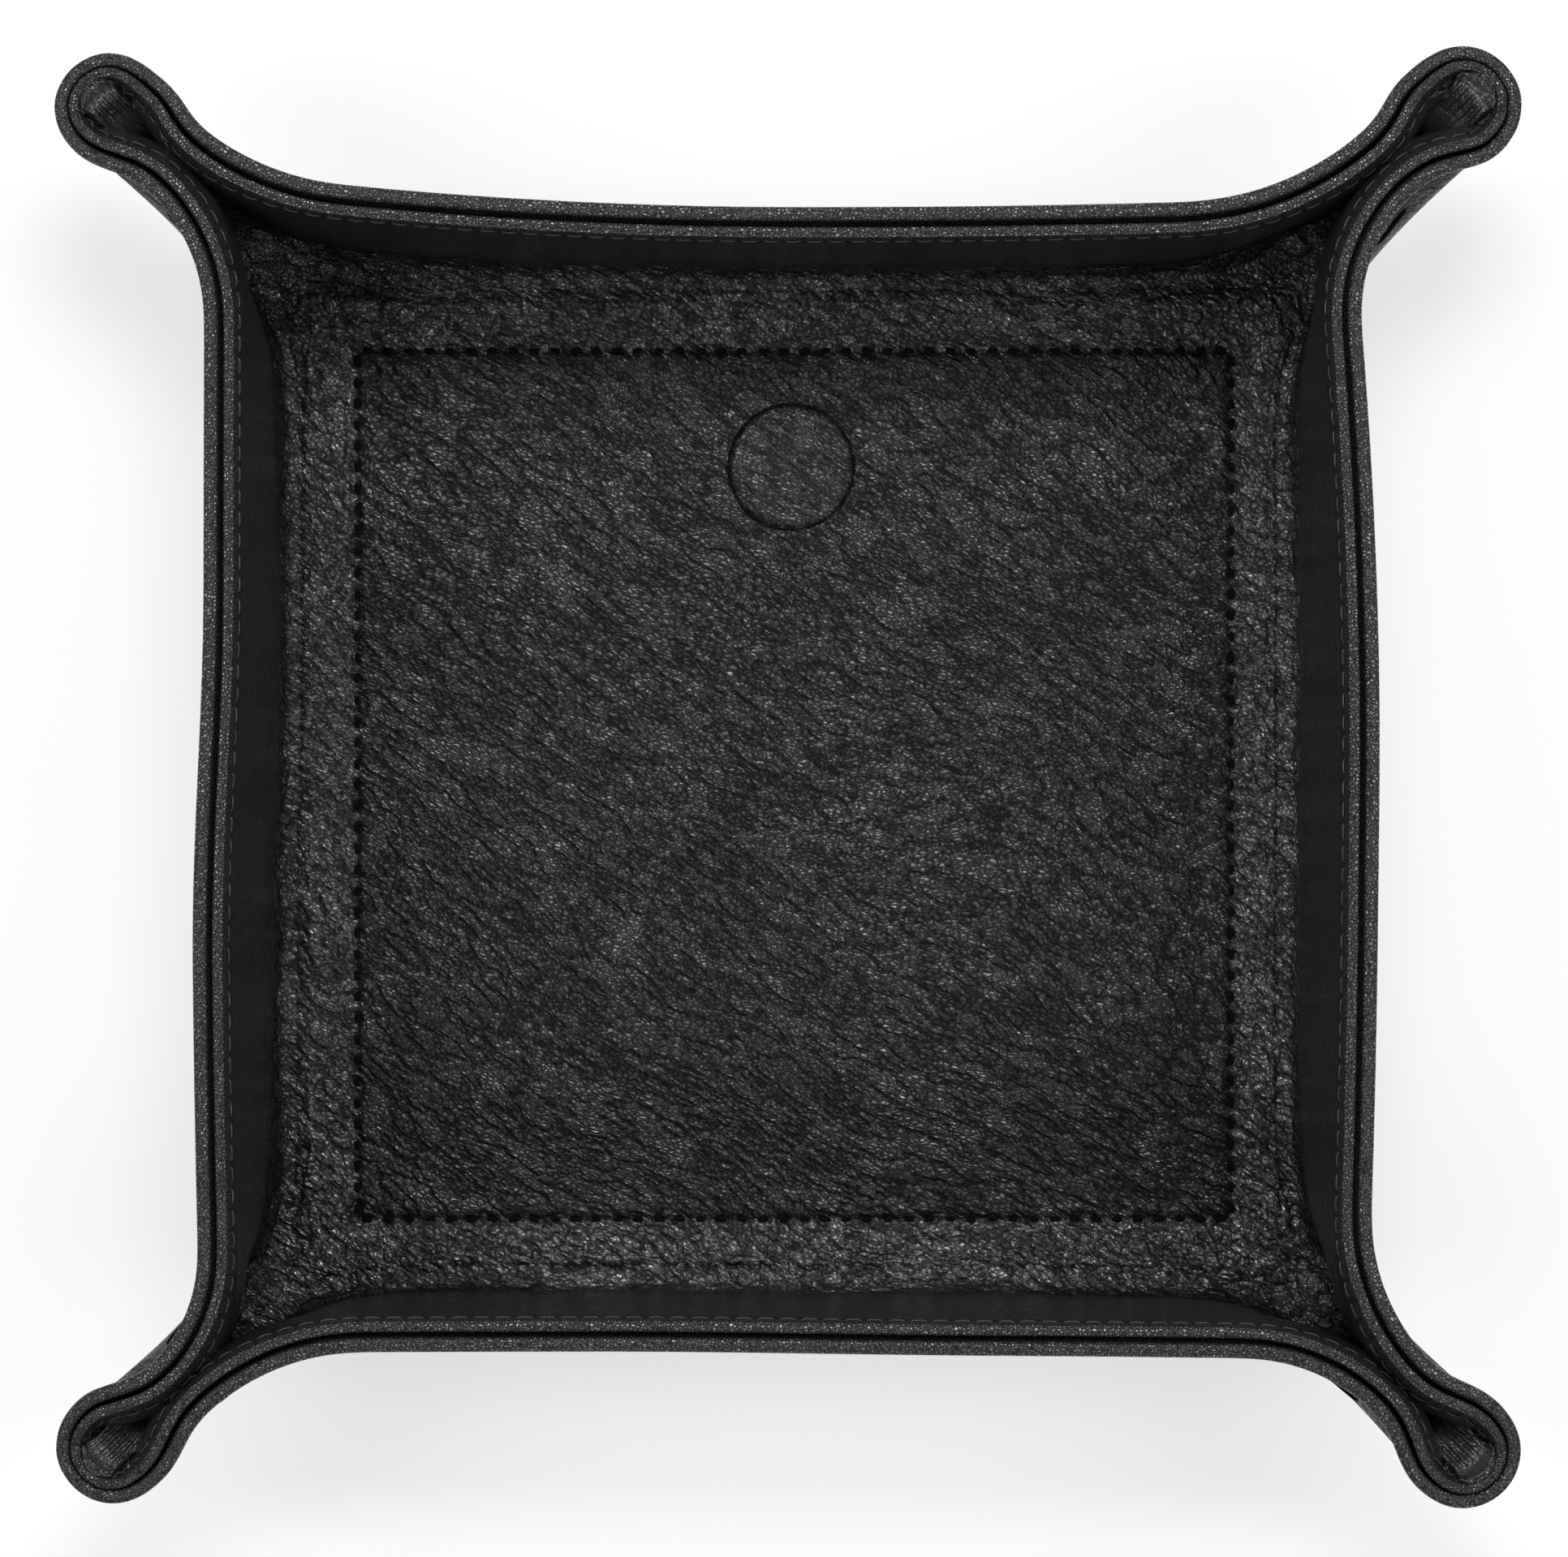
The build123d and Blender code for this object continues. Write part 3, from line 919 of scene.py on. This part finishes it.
def leather_material(name, dark, light, roughness):
    leather = LeatherNodes(name)
    leather.bump(leather.height(), 1.0, MM)
    tops = leather.tops()
    # The lift paints highlights into the colour: a sheen on the border between the seam and the walls, and one on
    # the rolled edges at the rim
    lift = leather.plus(leather.times(leather.gloss, 4.2), leather.times(leather.fine, 1.6), 1.0)
    tone = {"Factor": leather.times(tops, lift)}
    mix = leather.node("ShaderNodeMix", tone, data_type="RGBA", clamp_factor=False)
    for socket in mix.inputs:
        if socket.type == "RGBA":
            socket.default_value = (*(dark if socket.name == "A" else light), 1)
    leather.look("Base Color", next(s for s in mix.outputs if s.type == "RGBA"))
    rough = leather.plus(
        leather.mapped(tops, 0.0, 1.0, roughness + 0.22, roughness),
        leather.mapped(leather.patches, 0.25, 0.75, 0.05, -0.05),
    )
    rough = leather.less(rough, leather.times(leather.fine, 0.12))
    leather.look("Roughness", leather.less(rough, leather.times(leather.gloss, 0.05)))
    # Painted shade in the specular as well: the hollows of the grain reflect less
    shine = leather.mapped(tops, 0.0, 0.8, 0.08, 0.72)
    glossier = leather.plus(leather.times(leather.gloss, 0.75), 1.0)
    leather.look("Specular IOR Level", leather.times(shine, glossier))
    return leather.material


def thread_material(name, colour, roughness, specular):
    """Waxed thread: fine twisted plies that catch the light."""
    thread = Nodes(name)
    in_mm = thread.place()
    twist = {"Vector": in_mm, "Scale": 1.4, "Distortion": 1.5, "Detail": 1.0}
    plies = thread.node("ShaderNodeTexWave", twist)
    thread.bump(plies.outputs["Fac"], 0.7, 0.06 * MM)
    thread.colours(thread.noise(in_mm, 7.0, 3.0), [0.6 * c for c in colour], [1.5 * c for c in colour])
    thread.look("Roughness", roughness)
    thread.look("Specular IOR Level", specular)
    return thread.material


def board_material():
    """Pressed fibre board: grey-brown, matt, with short fibres."""
    board = Nodes("fibre_board")
    fibres = board.noise(board.place(400, 1800, 1800), 1.0, 4.0, 0.65)
    board.colours(fibres, (0.17, 0.14, 0.11), (0.42, 0.36, 0.28))
    board.bump(fibres, 0.5, 0.1 * MM)
    board.look("Roughness", 0.85)
    return board.material


cover_leather = leather_material("outer_leather", (0.0016, 0.0016, 0.0018), (0.018, 0.018, 0.0188), 0.27)
lining_leather = leather_material("lining_leather", (0.0013, 0.0013, 0.0015), (0.0155, 0.0155, 0.0163), 0.25)
seam_thread = thread_material("seam_thread", (0.0015, 0.0015, 0.0015), 0.9, 0.1)
rim_thread = thread_material("rim_thread", (0.036, 0.036, 0.038), 0.45, 0.5)
fibre_board = board_material()

# Stitches of the floor: height of their ends, lift, shift in pitches, length and radius
floor_stitches = (floor_top - 0.5, 0.22, 0.0, 1.5, 0.36)
under_stitches = (0.28, -0.03, 0.5, 1.9, 0.26)
seam_stitch_flatness = 0.7
rim_pitch = 3.0
rim_stitch_length = 2.5
rim_stitch_flatness = 0.75
tube_sides = 8
stitch_points = 7


def closed_tube(path, radius, flatness=1.0, up=(0, 0, 1.0)):
    """Points and faces of a round-ended tube along a path of points."""
    tangent = unit(np.gradient(path, axis=0))
    across = unit(np.cross(tangent, np.broadcast_to(np.asarray(up, float), tangent.shape)))
    rise = np.cross(across, tangent)
    count = len(path)
    ends = 1 - np.abs(np.linspace(-1, 1, count)) ** 6 * 0.75
    angles = np.arange(tube_sides)[:, None] * 2 * np.pi / tube_sides
    rings = across[:, None] * np.cos(angles) + rise[:, None] * np.sin(angles) * flatness
    points = path[:, None] + rings * (radius * ends)[:, None, None]
    faces = []
    for i in range(0, (count - 1) * tube_sides, tube_sides):
        for k in range(tube_sides):
            after = (k + 1) % tube_sides
            faces.append((i + k, i + after, i + tube_sides + after, i + tube_sides + k))
    faces.append(tuple(range(tube_sides))[::-1])
    faces.append(tuple((count - 1) * tube_sides + k for k in range(tube_sides)))
    return points.reshape(-1, 3), faces


def add_tubes(name, tubes, material):
    piece = Piece()
    for points, faces in tubes:
        at = piece.add(points)
        piece.faces += [tuple(at[i] for i in face) for face in faces]
    made = piece.build(name, material)
    return made


def rim_stitches(points, normals, lift, radius):
    """Stitches at an even pitch along the closed line of the rim seam, on one of its leathers."""
    closed, facing = (np.vstack((grid, grid[:1])) for grid in (points, normals))
    at = lengths_along(closed)
    count = int(round(at[-1] / rim_pitch))
    arch = lift * (1 - np.linspace(-1, 1, stitch_points) ** 4) - 0.35 * lift
    tubes = []
    for k in range(count):
        steps = (k + 0.5) * at[-1] / count + np.linspace(-0.5, 0.5, stitch_points) * rim_stitch_length
        line = points_at(steps, at, closed, at[-1])
        normal = unit(points_at(steps, at, facing, at[-1]))
        up = normal[stitch_points // 2]
        tubes.append(closed_tube(line + normal * arch[:, None], radius, rim_stitch_flatness, up))
    return tubes


def seam_stitches(height, lift, start, length, radius):
    """Stitches along the four sides of the stitched square, the first that share of a pitch along."""
    tubes = []
    across = np.linspace(-1, 1, stitch_points)
    for axis in (0, 1):
        side_length = 2 * seam_half[axis]
        count = round(side_length / seam_pitch)
        for side in (-1, 1):
            for k in range(count):
                middle = (k + 0.5 + start) * side_length / count - side_length / 2
                if middle > side_length / 2:
                    continue
                line = np.zeros((stitch_points, 3))
                line[:, axis] = middle + across * length / 2 + seam_centre[axis]
                line[:, 1 - axis] = side * seam_half[1 - axis] + seam_centre[1 - axis]
                line[:, 2] = height + lift * (1 - across**4)
                tubes.append(closed_tube(line, radius, seam_stitch_flatness))
    return tubes


lining_piece = make_lining(lining_leather)
cover_piece = make_cover(cover_leather)
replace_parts(lining_piece, "lining")
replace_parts(cover_piece, "outer_cover")

add_tubes("floor_seam_thread", seam_stitches(*floor_stitches), seam_thread)
add_tubes("floor_seam_thread_under", seam_stitches(*under_stitches), seam_thread)

point, normal, _ = on_wall(rim_length - stitch_drop)
at_stitches = np.full(columns, stitch_drop)
inside = point + normal * lining_depth(at_stitches)[:, None]
outside = point + normal * cover_depth(at_stitches)[:, None]
add_tubes("rim_thread_inside", rim_stitches(inside, normal, 0.24, 0.21), rim_thread)
add_tubes("rim_thread_outside", rim_stitches(outside, -normal, 0.2, 0.2), rim_thread)

# Boards between the leathers, each bowed with its wall
board_half_length = 58.6
board_foot = 9.5
board_recess = 6.6          # below the top of the roll
board_rows = 12
foot = length_up_to(np.full(columns, board_foot))


def wall_board(name, chosen):
    """The board of one wall, over the chosen columns."""
    piece = Piece()
    sheets = []
    for depth in (cover_thickness + glue_line, cover_thickness + board_thickness - glue_line):
        sheets.append([])
        for t in np.linspace(0, 1, board_rows):
            point, normal, _ = on_wall(between(foot, rim_length - board_recess, t))
            sheets[-1].append(piece.add((point + normal * depth)[chosen]))
    outer, inner = np.array(sheets)
    for sheet in sheets:
        for low, high in zip(sheet[:-1], sheet[1:]):
            piece.faces += zip(low[:-1], low[1:], high[1:], high[:-1])
    for i in (0, -1):
        piece.faces += zip(outer[i, :-1], outer[i, 1:], inner[i, 1:], inner[i, :-1])
    for j in (0, -1):
        piece.faces += zip(outer[:-1, j], outer[1:, j], inner[1:, j], inner[:-1, j])
    made = piece.build(name + "_fibre", fibre_board)
    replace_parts(made, name)


for index, name in enumerate(("wall_board_right", "wall_board_back", "wall_board_left", "wall_board_front")):
    along = rim_ring[:, 1 - index % 2]
    reach = 0
    while abs(along[(index * quarter + reach + 1) % columns]) < board_half_length:
        reach += 1
    wall_board(name, np.arange(index * quarter - reach, index * quarter + reach + 1) % columns)

# Corner tacks: heights of their turns and of the points along a bar, from the middle of the tack
tack_turn_rises = (-0.6, 0, 0.6)
tack_bar_rises = np.linspace(-1.8, 1.8, 9)


def corner_tack(name):
    """Turns of thread through both walls of a pinched corner, with a short bar on the outside of each."""
    low, high = (np.array(c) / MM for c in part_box(name))
    centre = (low + high) / 2

    def row_at(rise):
        return int(np.argmin(np.abs(level_heights - centre[2] - rise)))

    def nearest(chosen):
        return chosen[np.argmin(np.linalg.norm(reference[row_at(0), chosen, :2] - centre[:2], axis=1))]

    tip = nearest(np.arange(half_quarter, columns, quarter))
    ends = [nearest((tip + side * np.arange(2, half_quarter)) % columns) for side in (-1, 1)]
    tubes = []
    for rise in tack_turn_rises:
        row = row_at(rise)
        first, last = (reference[row, j] - inward[row, j] * 0.1 for j in ends)
        turn = between(first, last, np.linspace(0, 1, 9)[:, None])
        tubes.append(closed_tube(turn, 0.26))
    for j in ends:
        rows = [row_at(rise) for rise in tack_bar_rises]
        bar = reference[rows, j] - inward[rows, j] * 0.15
        up = inward[rows[len(rows) // 2], j]
        tubes.append(closed_tube(bar, 0.42, 0.7, up))
    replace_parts(add_tubes(name + "_thread", tubes, seam_thread), name)


floor_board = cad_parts["floor_board"]
floor_board.data.materials.clear()
floor_board.data.materials.append(fibre_board)
for name in sorted(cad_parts):
    if name.startswith("corner_tack"):
        corner_tack(name)

# Floor, light and camera, in metres
ground_glow = 0.62          # share of plain white that the camera and the reflections see
air_strength = 0.27
lamps = (
    ("key_back", (0.05, 0.55, 0.8), (0.42, 0.26), 5.2),
    ("fill_left", (-0.7, 0.05, 0.62), (0.22, 0.45), 2.6),
    ("fill_right", (0.7, 0.05, 0.62), (0.22, 0.45), 2.4),
    ("fill_front", (0.0, -0.7, 0.62), (0.45, 0.22), 1.4),
)
camera_place = (-0.00067, -0.00017, 0.8)
camera_lens = 128.25


def white_floor():
    mesh = bpy.data.meshes.new("studio_floor")
    square = [(-3, -3, 0), (3, -3, 0), (3, 3, 0), (-3, 3, 0)]
    mesh.from_pydata(square, [], [(0, 1, 2, 3)])
    floor = bpy.data.objects.new("studio_floor", mesh)
    floor.location.z = -0.0001
    bpy.context.scene.collection.objects.link(floor)
    white = Nodes("studio_white")
    white.tree.nodes.clear()
    diffuse = white.node("ShaderNodeBsdfDiffuse", {"Color": (0.95, 0.95, 0.95, 1)})
    glow = white.node("ShaderNodeEmission", {"Color": (1, 1, 1, 1), "Strength": 1.0})
    path = white.node("ShaderNodeLightPath").outputs
    seen = white.maths("MAXIMUM", path["Is Camera Ray"], path["Is Glossy Ray"])
    seen = white.times(white.maths("MAXIMUM", seen, path["Is Transmission Ray"]), ground_glow)
    mix = white.node("ShaderNodeMixShader", {0: seen, 1: diffuse.outputs[0], 2: glow.outputs[0]})
    white.node("ShaderNodeOutputMaterial", {"Surface": mix.outputs[0]})
    mesh.materials.append(white.material)


def studio():
    """The white floor, the air and the lamps, which all face the middle of the tray."""
    white_floor()
    world = bpy.data.worlds.new("studio_air")
    world.use_nodes = True
    background = world.node_tree.nodes["Background"].inputs
    background["Color"].default_value = (1, 1, 1, 1)
    background["Strength"].default_value = air_strength
    bpy.context.scene.world = world
    for name, place, size, power in lamps:
        data = bpy.data.lights.new(name, "AREA")
        data.shape = "RECTANGLE"
        data.size, data.size_y = size
        data.energy = power
        lamp = bpy.data.objects.new(name, data)
        lamp.location = place
        lamp.rotation_euler = (-Vector(place)).to_track_quat("-Z", "Y").to_euler()
        bpy.context.scene.collection.objects.link(lamp)


def photo_camera():
    data = bpy.data.cameras.new("photo_camera")
    data.lens = camera_lens
    data.sensor_width = 36
    camera = bpy.data.objects.new("photo_camera", data)
    camera.location = camera_place
    bpy.context.scene.collection.objects.link(camera)
    bpy.context.scene.camera = camera


studio()
photo_camera()
bpy.context.scene.view_settings.view_transform = "Standard"
